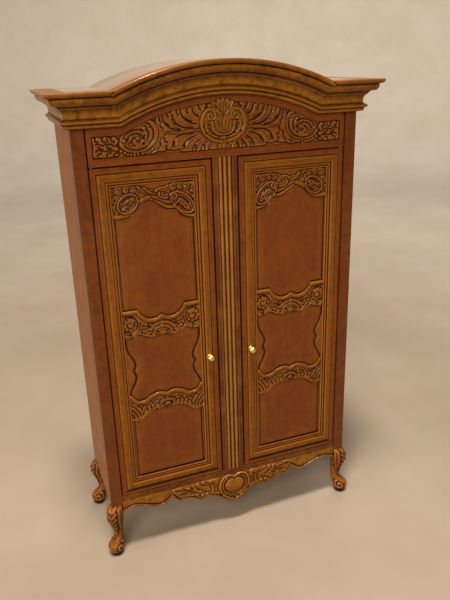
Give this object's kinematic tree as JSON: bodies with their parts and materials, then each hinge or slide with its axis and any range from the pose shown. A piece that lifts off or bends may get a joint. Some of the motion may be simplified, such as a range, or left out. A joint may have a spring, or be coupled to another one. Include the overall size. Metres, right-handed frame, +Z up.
{
  "type": "miniature wardrobe",
  "caption": "Dolls' house wardrobe in carved wood with an arched cornice, a carved frieze, hinged doors beside a reeded pilaster, a shaped apron and cabriole legs.",
  "frame": {"origin": "on the floor under the middle of the whole piece, cornice included", "axes": "+X to the right as seen from the front, the front faces -Y, +Z up"},
  "size_m": [0.1368, 0.0528, 0.2155],
  "materials": {
    "case_wood": "satin red-brown antique stain, plain surfaces",
    "moulded_wood": "satin golden-brown stain with dark glaze in the grooves",
    "carved_wood": "satin golden-brown carved surface with near-black glaze in the hollows",
    "door_panel_wood": "satin red-brown stain, edges rubbed lighter",
    "inside_wood": "plain stained wood, less polished",
    "brass": "polished turned brass",
    "steel_pin": "plain steel pin"
  },
  "bodies": {
    "case": {"apron_cartouche": "carved_wood", "apron_carving_left": "carved_wood", "apron_carving_right": "carved_wood", "back_panel": "inside_wood", "bottom_board": "inside_wood", "centre_pilaster": "moulded_wood", "corner_post_left": "case_wood", "corner_post_right": "case_wood", "cornice_front": "moulded_wood", "cornice_left": "moulded_wood", "cornice_right": "moulded_wood", "frieze_cartouche": "carved_wood", "frieze_carving_left": "carved_wood", "frieze_carving_right": "carved_wood", "frieze_panel": "moulded_wood", "front_apron": "moulded_wood", "hanging_rail": "inside_wood", "hat_shelf": "inside_wood", "hinge_pin_left_bottom": "steel_pin", "hinge_pin_left_top": "steel_pin", "hinge_pin_right_bottom": "steel_pin", "hinge_pin_right_top": "steel_pin", "leg_back_left": "carved_wood", "leg_back_right": "carved_wood", "leg_front_left": "carved_wood", "leg_front_right": "carved_wood", "rail_socket_left": "inside_wood", "rail_socket_right": "inside_wood", "roof_board": "case_wood", "side_panel_left": "case_wood", "side_panel_right": "case_wood", "top_board": "inside_wood"},
    "left_door": {"door_left_hinge_stile": "moulded_wood", "door_left_lock_stile": "moulded_wood", "door_left_top_rail": "moulded_wood", "door_left_bottom_rail": "moulded_wood", "door_left_panel": "door_panel_wood", "door_left_crest_carving": "carved_wood", "door_left_middle_carving": "carved_wood", "door_left_lower_carving": "carved_wood", "door_left_knob": "brass"},
    "right_door": {"door_right_hinge_stile": "moulded_wood", "door_right_lock_stile": "moulded_wood", "door_right_top_rail": "moulded_wood", "door_right_bottom_rail": "moulded_wood", "door_right_panel": "door_panel_wood", "door_right_crest_carving": "carved_wood", "door_right_middle_carving": "carved_wood", "door_right_lower_carving": "carved_wood", "door_right_knob": "brass"}
  },
  "joints": [
    {"name": "left_door_hinge", "type": "hinge", "parent": "case", "child": "left_door", "pos_m": [-0.05345, -0.01702, 0.1043], "axis": [0, 0, -1], "range_deg": [0, 105]},
    {"name": "right_door_hinge", "type": "hinge", "parent": "case", "child": "right_door", "pos_m": [0.05345, -0.01702, 0.1043], "axis": [0, 0, 1], "range_deg": [0, 105]}
  ]
}
